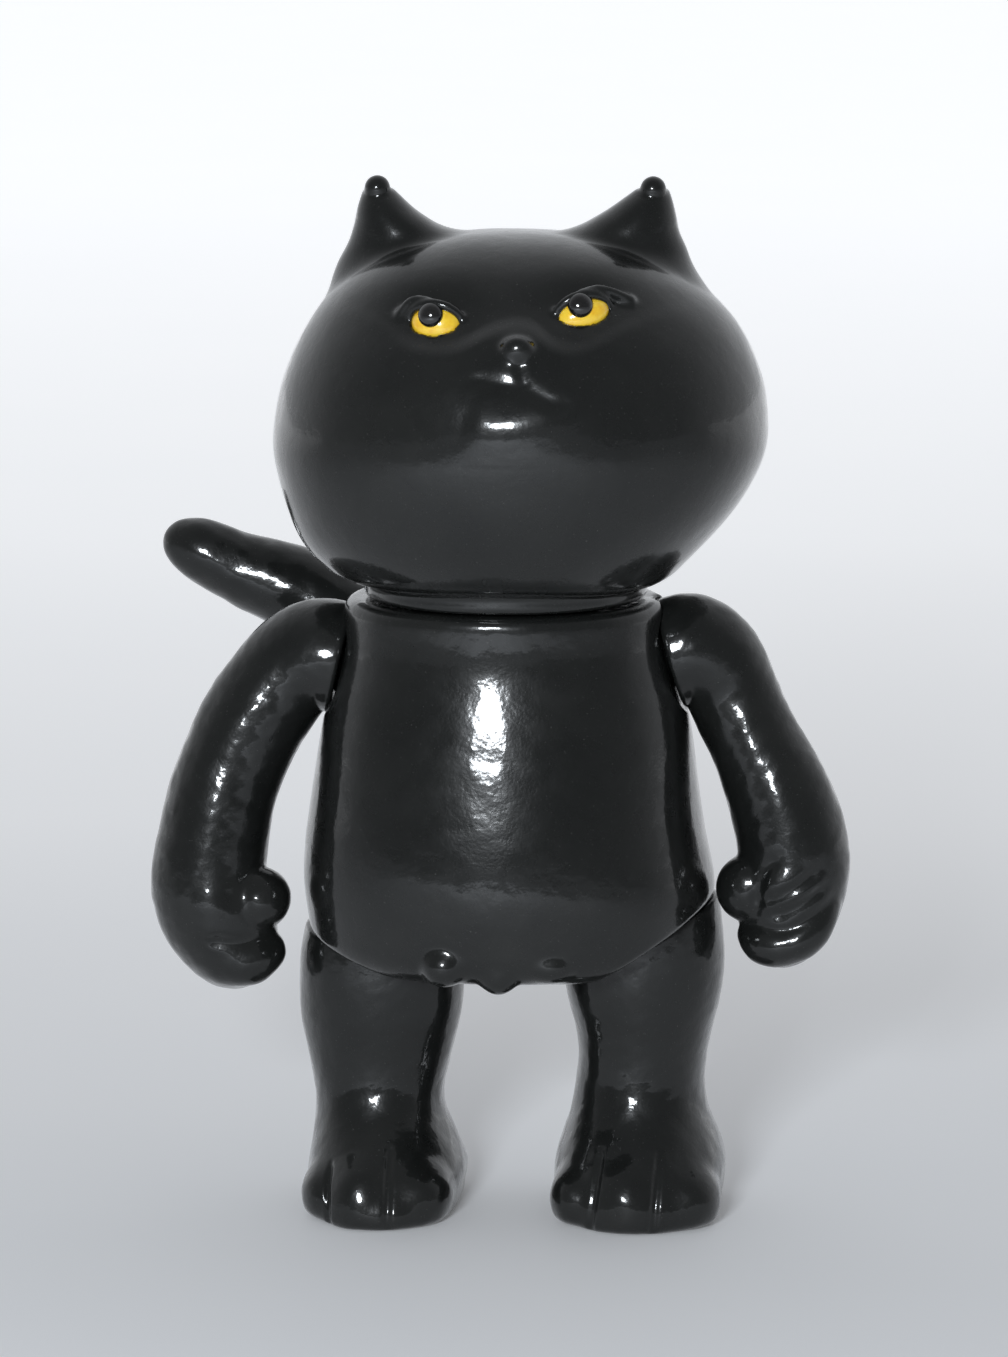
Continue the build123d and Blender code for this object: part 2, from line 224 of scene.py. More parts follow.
def settle(f, p, rounds=3):
    """Moves points onto the field's zero surface."""
    for _ in range(rounds):
        v = f(p)
        g = gradient(f, p)
        n2 = np.maximum((g * g).sum(1), 0.05)
        move = -(v / n2)[:, None] * g
        size = np.linalg.norm(move, axis=1)
        move *= np.minimum(1, 0.7 / np.maximum(size, 1e-9))[:, None]
        p = p + move
    return p


def mesh_of(name, f, lo, hi, voxel, fine=1, relax=3):
    """A closed quad mesh of the field's zero surface, settled onto it, then divided fine times and settled again."""
    lo, hi = np.array(lo, float), np.array(hi, float)
    n = np.ceil((hi - lo) / voxel).astype(int) + 1
    ax = [lo[k] + voxel * np.arange(n[k]) for k in range(3)]
    vol = np.empty(n, np.float32)
    yy, zz = np.meshgrid(ax[1], ax[2], indexing="ij")
    yz = np.column_stack([yy.ravel(), zz.ravel()])
    rows = max(1, 200000 // len(yz))
    for i in range(0, n[0], rows):
        xs = ax[0][i:i + rows]
        p = np.column_stack([np.repeat(xs, len(yz)), np.tile(yz, (len(xs), 1))])
        vol[i:i + rows] = f(p).reshape(len(xs), n[1], n[2])
    vol = np.clip(vol, -3 * voxel, 3 * voxel)
    grid = openvdb.FloatGrid(3 * voxel)
    grid.copyFromArray(vol)
    pts, quads = grid.convertToQuads(isovalue=0.0)
    pts = lo + np.array(pts, float) * voxel
    quads = np.array(quads, int)

    def neighbours(count, q):
        e = np.concatenate([q[:, [0, 1]], q[:, [1, 2]], q[:, [2, 3]], q[:, [3, 0]]])
        e = np.unique(np.sort(e, axis=1), axis=0)
        e = np.concatenate([e, e[:, ::-1]])
        return e, np.bincount(e[:, 0], minlength=count)

    pts = settle(f, pts, 2)
    e, deg = neighbours(len(pts), quads)
    for _ in range(relax):
        mean = np.zeros_like(pts)
        for k in range(3):
            mean[:, k] = np.bincount(e[:, 0], weights=pts[e[:, 1], k], minlength=len(pts)) / np.maximum(deg, 1)
        g = gradient(f, pts)
        nrm = g / np.maximum(np.linalg.norm(g, axis=1), 1e-9)[:, None]
        d = mean - pts
        d -= (d * nrm).sum(1)[:, None] * nrm
        pts = settle(f, pts + 0.6 * d, 1)
    for _ in range(fine):
        count = len(pts)
        edges = np.concatenate([quads[:, [0, 1]], quads[:, [1, 2]], quads[:, [2, 3]], quads[:, [3, 0]]])
        edges = np.sort(edges, axis=1)
        uniq, inv = np.unique(edges, axis=0, return_inverse=True)
        inv = inv.reshape(4, -1)
        mid = 0.5 * (pts[uniq[:, 0]] + pts[uniq[:, 1]])
        cen = pts[quads].mean(1)
        m = len(quads)
        ids = [count + inv[k] for k in range(4)]
        c = count + len(uniq) + np.arange(m)
        pts = np.concatenate([pts, mid, cen])
        quads = np.concatenate([
            np.column_stack([quads[:, 0], ids[0], c, ids[3]]),
            np.column_stack([ids[0], quads[:, 1], ids[1], c]),
            np.column_stack([c, ids[1], quads[:, 2], ids[2]]),
            np.column_stack([ids[3], c, ids[2], quads[:, 3]])])
    pts = settle(f, pts, 3)
    # faces look outwards
    a, b, cc = pts[quads[:2000, 0]], pts[quads[:2000, 1]], pts[quads[:2000, 2]]
    fn = np.cross(b - a, cc - a)
    g = gradient(f, a)
    if (fn * g).sum() < 0:
        quads = quads[:, ::-1]
    me = bpy.data.meshes.new(name)
    me.vertices.add(len(pts))
    me.vertices.foreach_set("co", ((pts + ORIGIN) / 1000.0).astype(np.float32).ravel())
    me.loops.add(len(quads) * 4)
    me.loops.foreach_set("vertex_index", quads.astype(np.int32).ravel())
    me.polygons.add(len(quads))
    me.polygons.foreach_set("loop_start", np.arange(0, len(quads) * 4, 4, dtype=np.int32))
    me.polygons.foreach_set("loop_total", np.full(len(quads), 4, np.int32))
    me.update(calc_edges=True)
    me.validate()
    me.shade_smooth()
    ob = bpy.data.objects.new(name, me)
    bpy.context.scene.collection.objects.link(ob)
    print(f"  {name}: {len(pts)} points, {len(quads)} quads")
    return ob


# ---------------------------------------------------------------- joints, as the CAD has them
def lean_out(p, deg):
    t = math.radians(deg)
    return np.array([-math.cos(t) if p[0] < 0 else math.cos(t), 0.0, math.sin(t)])


def lean_up(p, deg):
    t = math.radians(deg)
    return np.array([math.sin(t) if p[0] < 0 else -math.sin(t), 0.0, math.cos(t)])


SEAM = 0.35
SHOULDER_R, SHOULDER_L = np.array([-36.4, 0.0, 122.4]), np.array([35.4, 0.0, 124.4])
OUT_R, OUT_L = lean_out(SHOULDER_R, 13.0), lean_out(SHOULDER_L, 16.0)
HIP_R, HIP_L = np.array([-28.6, -1.0, 58.3]), np.array([30.4, -1.0, 62.4])
UP_R, UP_L = lean_up(HIP_R, 19.0), lean_up(HIP_L, 30.0)
TAIL_SEAT, TAIL_OUT = np.array([0.0, 31.4, 86.0]), np.array([0.0, 1.0, 0.0])


def plug(p, seat, out, neck, lip):
    """Neck and lip of a limb's snap plug, from just inside its seat into the torso."""
    return smin(rod(p, seat, -out, -2.0, 4.4, neck, 0.3), rod(p, seat, -out, 2.9, 4.9, lip, 0.8), 0.3)


def pocket(p, seat, out, neck, lip):
    """The hole and the room behind it that take the plug."""
    return smin(rod(p, seat, -out, -2.0, 6.0, neck, 0.3), rod(p, seat, -out, 2.3, 6.4, lip, 0.8), 0.3)


# ---------------------------------------------------------------- torso
torso_side = Stack([
    (44.0, 0.0, 42.4, 36.6, 30.8, 0.27),
    (56.0, 0.0, 43.4, 37.9, 31.9, 0.27),
    (65.0, 0.2, 44.6, 39.0, 33.0, 0.27),
    (72.5, 0.3, 45.6, 39.8, 33.8, 0.27),
    (81.0, -0.3, 44.9, 39.6, 33.8, 0.27),
    (91.0, -0.6, 43.4, 38.4, 33.2, 0.27),
    (101.0, -0.5, 42.0, 36.8, 32.2, 0.27),
    (110.0, -0.4, 40.6, 35.2, 31.2, 0.27),
    (118.0, -0.4, 38.6, 33.6, 30.4, 0.27),
    (125.0, -0.5, 36.8, 32.4, 29.6, 0.25),
    (132.0, -0.6, 36.0, 31.9, 29.2, 0.22),
    (138.0, -0.6, 35.5, 31.7, 29.0, 0.20),
    (146.0, -0.6, 34.4, 30.8, 28.2, 0.20),
])


def torso_field(p):
    f = torso_side(p)
    f = smax(f, p[:, 2] - 137.2, 3.2)
    f = smax(f, 56.6 - p[:, 2], 7.5)
    # soft bumps along the front of the hem
    f = smin(f, egg(p, (-11.6, -35.4, 61.2), (4.6, 4.2, 4.4)), 1.5)
    f = smin(f, egg(p, (0.2, -34.2, 59.2), (4.2, 3.9, 4.2)), 1.5)
    f = smin(f, egg(p, (11.6, -34.6, 61.4), (5.0, 3.8, 3.2)), 1.5)
    # the hips' flat seats
    f = smax(f, (p - HIP_R) @ -UP_R, 1.0)
    f = smax(f, (p - HIP_L) @ -UP_L, 1.0)
    # sculpting: a faint chest and belly, and the wobble of a hand-finished surface
    front = step(6, -18, p[:, 1])
    f = f - 0.45 * bell(p[:, 2] - 80, 13) * bell(p[:, 0] - 1, 17) * front
    f = f + 0.35 * bell(p[:, 2] - 126, 5) * bell(p[:, 0], 26) * front
    f = f + 0.10 * lumps(p, 15, 0) + 0.035 * lumps(p, 5.0, 1)
    # recessed seats for the arms and the tail
    for seat, out, r in ((SHOULDER_R, OUT_R, 12.7), (SHOULDER_L, OUT_L, 12.7), (TAIL_SEAT, TAIL_OUT, 11.5)):
        f = smax(f, -rod(p, seat, out, 0.0, 14.0, r, 0.3), 0.9)
    # holes
    f = smax(f, -pocket(p, SHOULDER_R, OUT_R, 7.3, 9.9), 0.4)
    f = smax(f, -pocket(p, SHOULDER_L, OUT_L, 7.3, 9.9), 0.4)
    f = smax(f, -pocket(p, TAIL_SEAT, TAIL_OUT, 6.7, 9.2), 0.4)
    f = smax(f, -pocket(p, HIP_R, -UP_R, 10.3, 13.0), 0.4)
    f = smax(f, -pocket(p, HIP_L, -UP_L, 10.3, 13.0), 0.4)
    f = smax(f, -rod(p, NECK, (0, 0, -1), -4.0, 9.0, 20.8, 0.5), 0.5)
    return f


# ---------------------------------------------------------------- head
HC = np.array([2.2, -1.0, 172.0])
HEAD = [  # z, centre x, half width, depth to the front, depth to the back
    (142.7, -0.9, 36.6, 34.2, 34.0),
    (145.4, -1.2, 40.1, 37.6, 36.4),
    (149.0, -1.1, 43.5, 40.5, 38.6),
    (153.0, -0.4, 46.5, 42.9, 40.6),
    (158.0, 0.7, 49.5, 45.0, 42.2),
    (164.0, 1.7, 52.2, 46.6, 43.5),
    (171.0, 2.5, 54.1, 47.4, 44.2),
    (178.0, 2.95, 53.9, 47.2, 44.0),
    (184.5, 3.2, 52.8, 46.0, 43.2),
    (191.0, 3.25, 50.5, 43.4, 41.4),
    (197.5, 3.2, 47.1, 39.3, 38.6),
    (203.5, 2.7, 42.2, 34.3, 34.8),
    (209.0, 2.1, 35.5, 28.4, 29.4),
    (213.5, 1.8, 27.2, 21.4, 22.6),
    (216.3, 1.8, 17.6, 13.8, 15.0),
]


def profile(side):
    """Distance from the head's middle against the angle from straight up, for one of its four sides."""
    rows = [(0.0, 45.7)]
    for z, cx, a, f, b in reversed(HEAD):
        reach = {"right": cx + a - HC[0], "left": a - cx + HC[0], "front": f + HC[1], "back": b - HC[1]}[side]
        rows.append((math.degrees(math.atan2(reach, z - HC[2])), math.hypot(reach, z - HC[2])))
    rows += [(139.0, 40.4), (150.0, 35.6), (165.0, 32.9), (180.0, 32.2)]
    # mirrored past both poles, so that the surface is smooth there
    rows = [(-t, r) for t, r in rows[3:0:-1]] + rows + [(360 - t, r) for t, r in rows[-2:-4:-1]]
    return Curve(rows)


HEAD_SIDES = {s: profile(s) for s in ("right", "left", "front", "back")}


def head_ball(p):
    v = p - HC
    r = np.linalg.norm(v, axis=1) + 1e-9
    phi = np.degrees(np.arccos(np.clip(v[:, 2] / r, -1, 1)))
    rho = np.hypot(v[:, 0], v[:, 1]) + 1e-9
    cx, cy = v[:, 0] / rho, v[:, 1] / rho
    rx = np.where(cx > 0, HEAD_SIDES["right"](phi)[:, 0], HEAD_SIDES["left"](phi)[:, 0])
    ry = np.where(cy > 0, HEAD_SIDES["back"](phi)[:, 0], HEAD_SIDES["front"](phi)[:, 0])
    u, w = np.abs(cx) / rx, np.abs(cy) / ry
    q = 0.15 * step(0.1, 0.75, rho / r) * (u * w) ** 2 / (u * u + w * w) ** 2
    rb = np.sqrt(2 / (1 + np.sqrt(1 - 4 * q)))
    return (r - rb / np.sqrt(u * u + w * w)) * 0.96


def ear(rows, tip, tip_r):
    stack = Stack(rows)

    def field(p):
        q = p - np.array([0.0, 3.4, 0.0])
        q[:, 1] += 3.2 * step(205, 226, p[:, 2])
        f = smax(stack(q), p[:, 2] - tip[2], 0.8)
        f = smax(f, 199.0 - p[:, 2], 5.0)
        return smin(f, ball(p, tip, tip_r), 0.9)
    return field


ear_r = ear([
    (194.0, -22.0, 17.0, 15.0, 15.0, 0.0),
    (200.0, -22.0, 16.4, 14.6, 14.8, 0.0),
    (206.0, -22.2, 16.6, 13.0, 14.0, 0.0),
    (211.0, -22.2, 15.0, 11.6, 12.0, 0.0),
    (214.6, -22.5, 12.8, 10.4, 10.0, 0.0),
    (217.4, -23.7, 10.6, 9.4, 8.2, 0.0),
    (219.6, -25.2, 8.5, 8.4, 6.7, 0.0),
    (222.0, -26.7, 6.5, 7.1, 5.4, 0.0),
    (225.0, -27.9, 4.4, 4.9, 4.1, 0.0),
    (227.0, -28.5, 3.0, 3.1, 2.9, 0.0),
    (229.4, -28.6, 1.5, 1.5, 1.5, 0.0),
], (-28.5, -2.1, 226.9), 2.8)
ear_l = ear([
    (194.0, 27.6, 17.0, 15.0, 15.0, 0.0),
    (200.0, 26.6, 16.0, 14.6, 14.8, 0.0),
    (206.0, 26.0, 15.6, 13.0, 14.0, 0.0),
    (211.0, 25.4, 14.4, 11.8, 12.2, 0.0),
    (214.6, 25.1, 13.4, 10.5, 10.4, 0.0),
    (217.4, 25.5, 11.8, 9.6, 8.8, 0.0),
    (219.6, 26.9, 9.9, 8.6, 7.2, 0.0),
    (222.0, 28.7, 7.6, 7.2, 5.7, 0.0),
    (225.0, 30.5, 5.0, 5.0, 4.3, 0.0),
    (227.0, 31.4, 3.3, 3.2, 3.0, 0.0),
    (229.6, 31.6, 1.5, 1.5, 1.5, 0.0),
], (31.6, -2.1, 227.0), 2.75)

ROLL = math.radians(3.5)      # the face sits a little rolled, its left side up
FACE = np.array([2.4, 202.0])  # x and z of the point midway between the eyes


def face_uv(p):
    dx, dz = p[:, 0] - FACE[0], p[:, 2] - FACE[1]
    return dx * math.cos(ROLL) + dz * math.sin(ROLL), -dx * math.sin(ROLL) + dz * math.cos(ROLL)


# the line where the cheeks and the nose rise below the eyes: x, z
SHELF = Curve([(-40.0, 203.0), (-32.0, 202.4), (-24.3, 200.0), (-21.0, 197.6), (-15.7, 195.9), (-10.3, 195.9), (-6.0, 197.3),
               (-1.7, 199.5), (3.7, 200.8), (8.0, 200.0), (11.2, 197.6), (15.5, 196.0), (19.8, 196.6), (24.5, 198.8),
               (30.5, 201.6), (40.0, 203.4)])
LOWER_LIP = [(-7.0, -46.8, 181.0), (-2.0, -47.8, 180.2), (2.0, -48.0, 180.1), (6.0, -48.0, 180.6), (10.0, -47.4, 181.8),
             (13.6, -46.6, 183.4), (17.0, -45.6, 185.5), (20.0, -44.4, 188.0)]


def skull(p):
    """Head with ears, cheeks and brow, before the eyes, the nose and the mouth."""
    f = head_ball(p)
    u, v = face_uv(p)
    front = step(-8, -26, p[:, 1])
    eyes = bell(u + 15.7, 8.0) + bell(u - 15.7, 8.0)
    d = -1.3 * eyes * bell(v - 1.0, 4.4)                                   # eye hollows
    below = SHELF(p[:, 0])[:, 0] - p[:, 2]
    d += 1.0 * step(-2.0, 1.8, below) * np.exp(-np.maximum(below, 0) / 11.0) * bell(p[:, 0] - 2, 19.0)
    d += 1.1 * bell(p[:, 0] - 4.2, 4.3) * bell(p[:, 2] - 196.0, 3.6)       # nose
    d += 0.7 * eyes * bell(v - 8.5, 3.6)                                   # brow
    d += 0.6 * bell(u - 2.6, 9.0) * bell(v + 17.0, 5.0)                    # muzzle
    d += 0.5 * bell(u - 3.0, 11.0) * bell(v + 27.0, 5.0)                   # chin
    f = f - d * front
    f = smin(f, ear_r(p), 3.4)
    f = smin(f, ear_l(p), 3.4)
    return f


def surface_y(f, x, z, y0=-75.0, y1=-5.0):
    """The front surface's y at x, z."""
    ys = np.linspace(y0, y1, 1401)
    v = f(np.column_stack([np.full_like(ys, x), ys, np.full_like(ys, z)]))
    k = int(np.argmax(v < 0))
    return ys[k - 1] + (ys[k] - ys[k - 1]) * v[k - 1] / (v[k - 1] - v[k])


def eye_frame(x, z, slant, toe, tip):
    """Centre on the surface and axes (across, up, out) of an eye."""
    c = np.array([x, surface_y(skull, x, z), z])
    n = unit(np.array([toe, -1.0, tip]))
    a = np.array([math.cos(slant), 0.0, math.sin(slant)])
    a = unit(a - n * (a @ n))
    return c, np.array([a, np.cross(n, a), n])


EYES = {
    "right": dict(at=(-13.3, 200.9, math.radians(-4.0), -0.16, 0.26), half=(5.45, 4.15, 3.3), pupil=(-0.7, 1.35, 1.75)),
    "left": dict(at=(18.0, 202.8, math.radians(19.0), 0.22, 0.26), half=(5.9, 3.95, 3.3), pupil=(-0.3, 1.75, 1.75)),
}
for e in EYES.values():
    e["c"], e["axes"] = eye_frame(*e["at"])
    e["in"] = e["c"] - e["axes"][2] * 1.1

EYE_ARC = [(-6.4, 0.4, -1.3), (-5.0, 2.35, 0.2), (-2.7, 3.5, 1.25), (0.0, 3.85, 1.6), (2.8, 3.3, 1.25), (5.0, 2.0, 0.2), (6.4, 0.0, -1.3)]
EYE_LOW = [(-6.0, 0.8, -1.1), (-4.6, -2.5, -0.45), (-1.8, -4.15, -0.2), (1.6, -4.25, -0.2), (4.4, -2.7, -0.45), (5.9, 0.6, -1.1)]


def eye_line(e, rows, r, scale=1.0):
    """A rounded ridge along an eye, given in the eye's own axes."""
    pts = [e["c"] + a * scale * e["axes"][0] + b * e["axes"][1] + c * e["axes"][2] for a, b, c in rows]
    rr = np.array([0.5, 0.85, 1.0, 1.0, 1.0, 0.85, 0.5]) if len(rows) == 7 else np.array([0.5, 0.9, 1.0, 1.0, 0.9, 0.5])
    return Limb(np.column_stack([np.array(pts), rr * r]), 60)


for e in EYES.values():
    e["lid"] = eye_line(e, EYE_ARC, 1.0)
    e["low"] = eye_line(e, EYE_LOW, 0.55)
    # the fold that runs out and up from the outer corner
    s = -1.0 if e["c"][0] < 0 else 1.0
    if s > 0:
        fold = [(1.0, 4.3, 0.6, 0.8), (4.6, 4.1, 0.3, 0.9), (7.8, 2.6, -0.6, 0.9), (11.0, 0.2, -1.9, 0.8)]
    else:
        fold = [(-1.0, 4.4, 0.5, 0.8), (-3.8, 4.7, 0.4, 0.95), (-5.6, 4.2, 0.0, 1.05), (-8.0, 1.8, -1.4, 0.8)]
    pts = [e["c"] + a * e["axes"][0] + b * e["axes"][1] + c * e["axes"][2] for a, b, c, r in fold]
    e["fold"] = Limb(np.column_stack([np.array(pts), [r[3] for r in fold]]), 40)

NOSE = np.array([4.7, surface_y(skull, 4.7, 196.6) - 0.1, 196.6])
MOUTH = [(-6.6, 189.6), (-3.0, 189.9), (1.6, 189.2), (7.4, 187.9), (11.6, 185.7), (14.6, 185.3), (18.0, 187.0)]
MOUTH = [(x, surface_y(skull, x, z), z) for x, z in MOUTH]
LIP = [(x, surface_y(skull, x, z), z) for x, z in ((4.9, 194.0), (5.8, 191.2), (6.8, 188.4))]


def near(p, f, lo, hi, g, far):
    """g worked out only inside a box, and far elsewhere."""
    m = ((p > np.array(lo)) & (p < np.array(hi))).all(1)
    out = np.full(len(p), far)
    if m.any():
        out[m] = g(p[m])
    return out


def head_field(p):
    f = skull(p)
    box = ((-34, -60, 172), (38, -14, 214))
    add = near(p, f, *box, lambda q: np.minimum(EYES["right"]["low"](q), EYES["left"]["low"](q)), 50.0)
    f = smin(f, add, 1.2)
    add = near(p, f, *box, lambda q: np.minimum(EYES["right"]["fold"](q), EYES["left"]["fold"](q)), 50.0)
    f = smin(f, add, 2.0)
    f = smin(f, near(p, f, *box, lambda q: egg(q, NOSE, (3.0, 2.1, 2.4)), 50.0), 2.4)
    f = f + near(p, f, *box, lambda q: groove(q, MOUTH, 1.25, 0.46) + groove(q, LIP, 0.9, 0.35) - groove(q, LOWER_LIP, 3.4, 0.60), 0.0)
    # neck ring, its end cut flat
    ring = squircle(p[:, 0] + 0.5, p[:, 1], 31.2, 31.0, 29.6, 0.12)
    ring = smax(ring, p[:, 2] - 144.0, 2.0)
    f = smin(f, ring, 1.6)
    f = f + 0.10 * lumps(p, 17, 2) + 0.02 * lumps(p, 5.0, 3)
    f = smax(f, 137.2 + SEAM - p[:, 2], 1.6)
    f = smin(f, smin(rod(p, NECK, (0, 0, -1), -3.0, 3.6, 20.0, 0.3), rod(p, NECK, (0, 0, -1), 3.0, 5.4, 20.3, 0.8), 0.3), 0.3)
    # sockets for the eyes, and the lids that close over their tops
    for e in EYES.values():
        f = smax(f, -egg(p, e["in"], np.array(e["half"]) + 0.12, e["axes"]), 0.35)
    add = near(p, f, *box, lambda q: np.minimum(EYES["right"]["lid"](q), EYES["left"]["lid"](q)), 50.0)
    return smin(f, add, 1.1)


# ---------------------------------------------------------------- arms
def limb_field(rows, seat, out, root, neck, lip):
    """Root and centreline of a limb, cut flat at its seat, with its plug."""
    start = seat + out * SEAM
    head = [(*(start - out * 4.0), root), (*start, root), (*(start + out * 4.4), root)]
    limb = Limb(head + rows)

    def field(p):
        return limb(p)

    def finish(p, f):
        f = smax(f, np.minimum((start - p) @ out, root + 8.0 - np.linalg.norm(p - start, axis=1)), 1.3)
        return smin(f, plug(p, seat, out, neck, lip), 0.3)
    return field, finish


arm_r, arm_r_end = limb_field([
    (-47.0, 0.0, 121.2, 11.7),
    (-52.4, -0.4, 115.3, 11.7),
    (-56.8, -1.6, 108.6, 11.8),
    (-60.2, -2.8, 101.4, 11.7),
    (-63.5, -4.2, 92.2, 12.0),
    (-65.3, -5.4, 82.6, 12.4),
    (-66.1, -6.2, 73.6, 13.0),
    (-64.7, -6.6, 67.4, 13.1),
    (-63.1, -6.9, 63.0, 12.0),
    (-61.4, -7.2, 59.4, 10.1),
    (-60.2, -7.3, 56.6, 7.5),
    (-59.4, -7.4, 54.6, 4.6),
    (-59.0, -7.4, 53.3, 2.0),
], SHOULDER_R, OUT_R, 12.3, 7.0, 9.2)
finger_r = Limb([(-54.2, -9.6, 58.2, 5.2), (-56.8, -11.8, 56.9, 5.9), (-61.6, -11.6, 57.1, 6.0)], 40)
CREASE_R = [(-47.5, -10.0, 63.6), (-51.5, -15.4, 63.0), (-55.5, -17.8, 62.2), (-60.5, -18.8, 61.8), (-66.0, -18.2, 62.8)]


def arm_right_field(p):
    f = arm_r(p)
    f = smin(f, egg(p, (-54.4, -10.2, 70.4), (6.8, 7.4, 7.0)), 1.3)
    f = smin(f, finger_r(p), 1.2)
    f = f + groove(p, CREASE_R, 1.0, 1.5)
    f = f + groove(p, [(-52.0, -15.5, 76.6), (-56.0, -18.0, 75.2), (-60.5, -18.8, 71.0)], 1.2, 0.6)
    f = f + 0.20 * lumps(p, 11, 4) + 0.08 * lumps(p, 3.8, 1) + 0.04 * lumps(p, 2.0, 2)
    return arm_r_end(p, f)


arm_l, arm_l_end = limb_field([
    (45.4, 0.0, 122.9, 11.2),
    (49.0, 0.0, 117.2, 10.4),
    (52.0, -1.2, 110.8, 10.2),
    (55.7, -2.4, 103.4, 10.5),
    (59.5, -3.4, 95.4, 11.3),
    (62.5, -4.2, 86.8, 12.1),
    (63.4, -4.7, 79.4, 12.3),
    (62.9, -5.0, 73.6, 12.0),
    (62.3, -5.2, 69.2, 11.3),
    (61.7, -5.3, 65.8, 9.8),
    (61.2, -5.4, 62.9, 7.5),
    (60.9, -5.4, 60.8, 4.6),
    (60.8, -5.4, 59.5, 2.0),
], SHOULDER_L, OUT_L, 12.3, 7.0, 9.2)
thumb_l = Limb([(55.8, -8.8, 63.4, 4.6), (57.6, -11.6, 62.2, 4.9), (62.8, -13.0, 62.6, 4.7), (67.4, -12.2, 65.4, 4.5), (70.0, -9.8, 70.6, 3.8)], 60)


def arm_left_field(p):
    f = arm_l(p)
    f = smin(f, egg(p, (54.0, -7.8, 73.6), (7.6, 7.2, 7.8)), 1.0)
    f = smin(f, egg(p, (62.6, -11.0, 75.2), (8.8, 6.8, 7.2)), 1.6)
    f = smin(f, thumb_l(p), 0.8)
    for line in ([(57.0, -15.6, 72.4), (60.8, -17.7, 74.0), (65.0, -17.5, 76.4), (69.4, -15.5, 79.6)],
                 [(58.6, -15.8, 69.0), (62.4, -17.3, 70.6), (66.4, -17.0, 72.8), (70.6, -14.8, 75.8)],
                 [(55.4, -15.0, 70.5), (55.9, -16.0, 75.6), (57.4, -16.6, 80.0), (60.4, -16.8, 82.6)]):
        f = f + groove(p, line, 0.9, 1.1)
    f = f + 0.18 * lumps(p, 11, 3) + 0.08 * lumps(p, 3.8, 0) + 0.04 * lumps(p, 2.0, 4)
    return arm_l_end(p, f)


# ---------------------------------------------------------------- tail
tail, tail_end = limb_field([
    (-2.6, 43.6, 87.6, 11.0),
    (-8.4, 50.2, 92.0, 10.9),
    (-17.0, 55.8, 99.8, 10.8),
    (-27.0, 59.2, 109.0, 10.7),
    (-37.5, 60.8, 118.0, 10.6),
    (-47.5, 60.8, 125.0, 10.3),
    (-56.0, 60.0, 129.4, 9.8),
    (-63.5, 59.2, 132.2, 8.8),
    (-70.0, 58.4, 135.1, 8.0),
    (-74.6, 57.8, 137.5, 7.4),
    (-77.6, 57.5, 138.9, 6.3),
    (-79.9, 57.3, 139.9, 4.5),
    (-81.3, 57.2, 140.5, 2.4),
], TAIL_SEAT, TAIL_OUT, 11.0, 6.4, 8.5)


def tail_field(p):
    f = tail(p)
    f = f + 0.20 * lumps(p, 12, 1) + 0.11 * lumps(p, 4.2, 2) + 0.05 * lumps(p, 2.2, 3)
    return tail_end(p, f)


# ---------------------------------------------------------------- legs
leg_r = Stack([
    (-6.0, -27.3, 16.6, 29.6, 16.8, 0.50),
    (0.0, -27.3, 17.1, 31.0, 17.2, 0.50),
    (4.0, -27.3, 17.5, 31.2, 17.6, 0.48),
    (8.0, -27.0, 17.7, 29.4, 17.6, 0.42),
    (12.0, -27.3, 16.8, 27.0, 17.2, 0.34),
    (16.0, -27.9, 15.7, 23.6, 16.5, 0.26),
    (20.0, -28.5, 14.7, 20.4, 15.8, 0.20),
    (24.5, -28.8, 14.4, 17.8, 15.3, 0.18),
    (30.0, -28.8, 15.3, 16.6, 15.6, 0.18),
    (36.5, -28.7, 16.8, 16.8, 16.4, 0.18),
    (43.0, -28.5, 18.1, 17.8, 17.2, 0.20),
    (50.0, -28.4, 18.5, 18.2, 17.6, 0.20),
    (57.0, -28.3, 18.1, 18.0, 17.2, 0.20),
    (66.0, -28.2, 16.2, 16.8, 16.0, 0.20),
    (76.0, -28.0, 14.0, 14.8, 14.2, 0.20),
])
leg_l = Stack([
    (-6.0, 29.0, 17.2, 29.6, 16.8, 0.44),
    (0.0, 29.2, 18.3, 30.3, 17.2, 0.44),
    (4.0, 29.4, 18.9, 30.6, 17.6, 0.44),
    (8.5, 29.6, 19.1, 29.4, 17.6, 0.42),
    (13.0, 29.8, 18.5, 26.8, 17.2, 0.34),
    (17.0, 29.7, 17.1, 23.6, 16.5, 0.26),
    (21.5, 29.5, 15.5, 20.0, 15.8, 0.20),
    (27.0, 29.5, 14.5, 17.4, 15.3, 0.18),
    (33.0, 30.0, 14.3, 16.5, 15.5, 0.18),
    (40.0, 30.3, 15.3, 16.8, 16.3, 0.18),
    (46.5, 30.2, 16.9, 17.7, 17.2, 0.20),
    (53.5, 30.2, 17.8, 18.2, 17.6, 0.20),
    (61.0, 30.4, 17.5, 18.0, 17.2, 0.20),
    (71.0, 30.7, 16.0, 17.0, 16.2, 0.20),
    (84.0, 30.8, 14.0, 15.0, 14.4, 0.20),
])


def toe_lines(stack, tops):
    """Grooves between the toes: each runs down the front of the foot from its top to the sole."""
    lines = []
    for x, lean, ztop in tops:
        pts = []
        for z in np.linspace(ztop, -1.0, 7):
            xx = x + lean * (ztop - z) / ztop
            pts.append((xx, surface_y(lambda q: stack(q), xx, z, -45.0, 0.0), z))
        lines.append(pts)
    return lines


TOES_R = toe_lines(leg_r, [(-37.9, -0.3, 13.0), (-24.6, 0.0, 16.6)])
TOES_L = toe_lines(leg_l, [(21.9, -2.3, 17.0), (34.9, -1.2, 17.2)])


